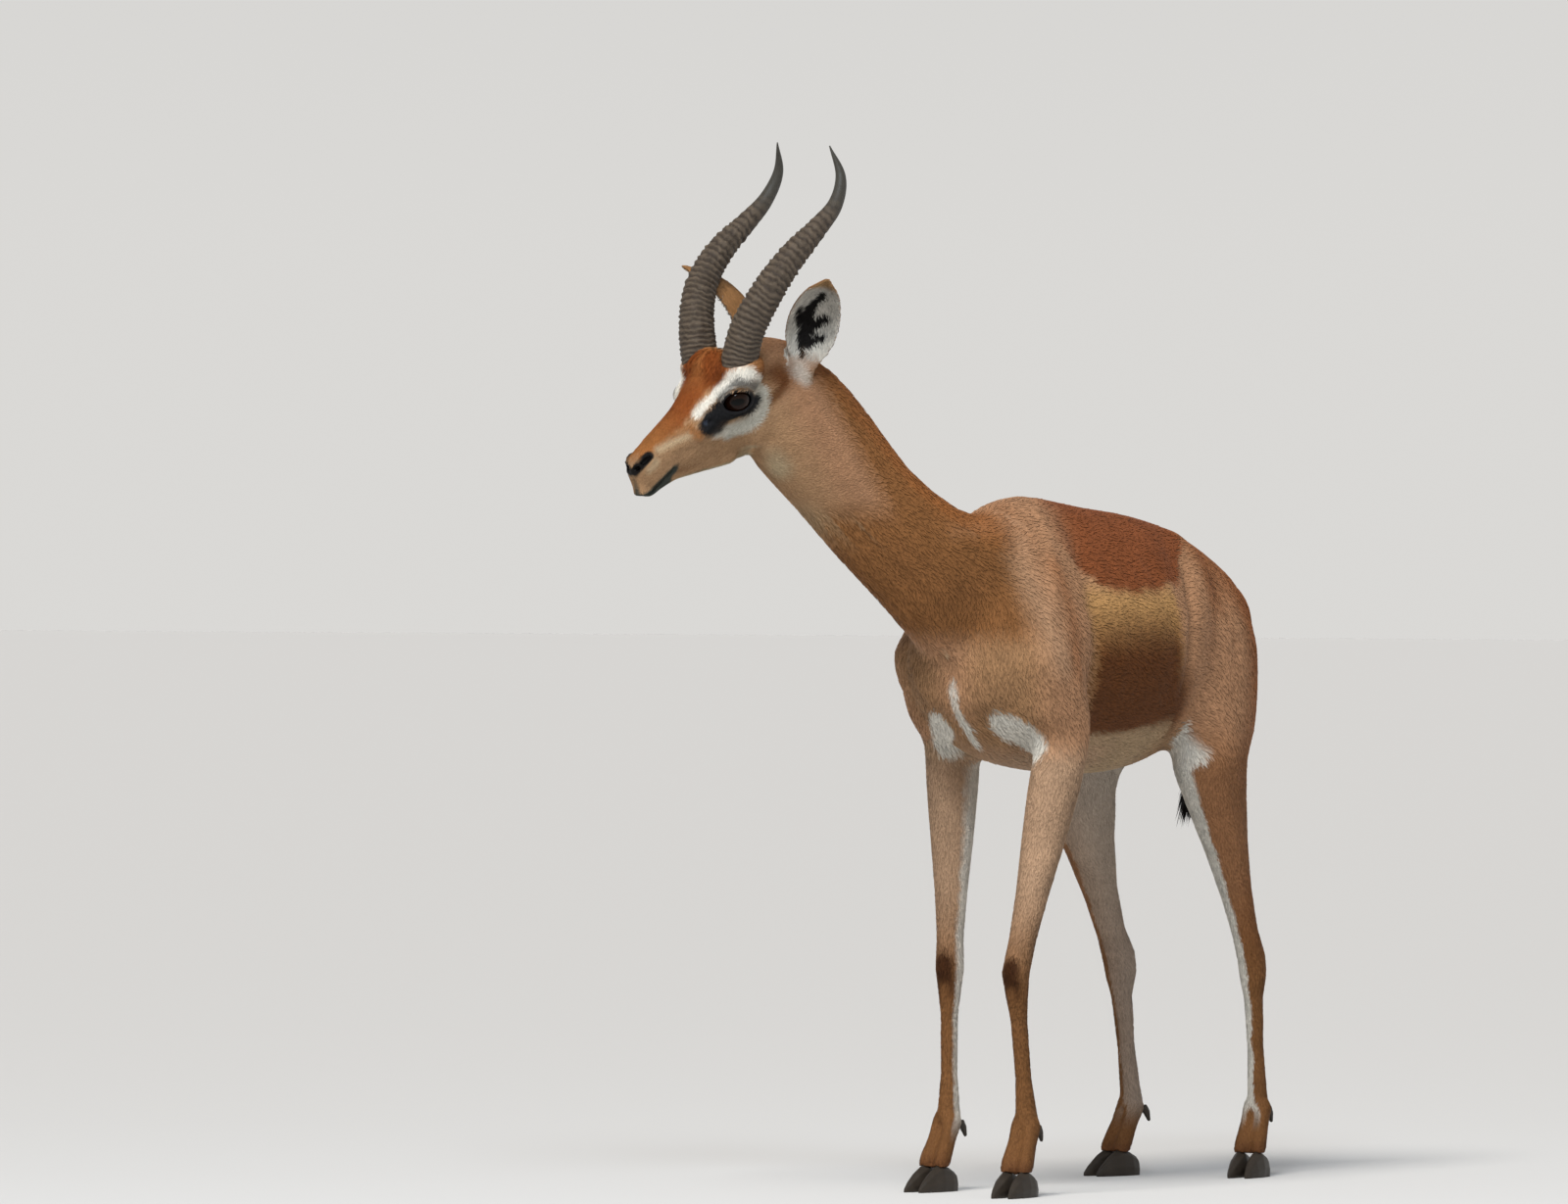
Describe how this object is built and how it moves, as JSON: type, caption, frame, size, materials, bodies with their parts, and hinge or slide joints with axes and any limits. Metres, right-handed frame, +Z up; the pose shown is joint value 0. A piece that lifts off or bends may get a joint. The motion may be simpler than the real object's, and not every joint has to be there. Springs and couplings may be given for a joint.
{
  "type": "gerenuk",
  "caption": "Male gerenuk standing alert, with its long neck reaching forward, its head turned a little to its right, and ringed lyre-shaped horns.",
  "frame": {"origin": "on the ground below the middle of the whole animal", "axes": "+X forward along the trunk, +Y to the animal's left, +Z up"},
  "size_m": [1.1929, 0.3837, 1.3489],
  "materials": {
    "coat": "short smooth hair, chestnut on the back, fawn on the flanks, white below",
    "horn": "ringed and matte, smooth towards the tips",
    "eye": "wet gloss",
    "hoof": "satin"
  },
  "bodies": {
    "root": {"trunk": "coat", "neck": "coat", "head": "coat", "tail": "coat", "ear_left": "coat", "ear_right": "coat", "eye_left": "eye", "eye_right": "eye", "horn_left": "horn", "horn_right": "horn", "foreleg_left": "coat", "foreleg_left_hoof_outer": "hoof", "foreleg_left_hoof_inner": "hoof", "foreleg_left_dewclaw_outer": "hoof", "foreleg_left_dewclaw_inner": "hoof", "foreleg_right": "coat", "foreleg_right_hoof_outer": "hoof", "foreleg_right_hoof_inner": "hoof", "foreleg_right_dewclaw_outer": "hoof", "foreleg_right_dewclaw_inner": "hoof", "hindleg_left": "coat", "hindleg_left_hoof_outer": "hoof", "hindleg_left_hoof_inner": "hoof", "hindleg_left_dewclaw_outer": "hoof", "hindleg_left_dewclaw_inner": "hoof", "hindleg_right": "coat", "hindleg_right_hoof_outer": "hoof", "hindleg_right_hoof_inner": "hoof", "hindleg_right_dewclaw_outer": "hoof", "hindleg_right_dewclaw_inner": "hoof"}
  },
  "joints": []
}
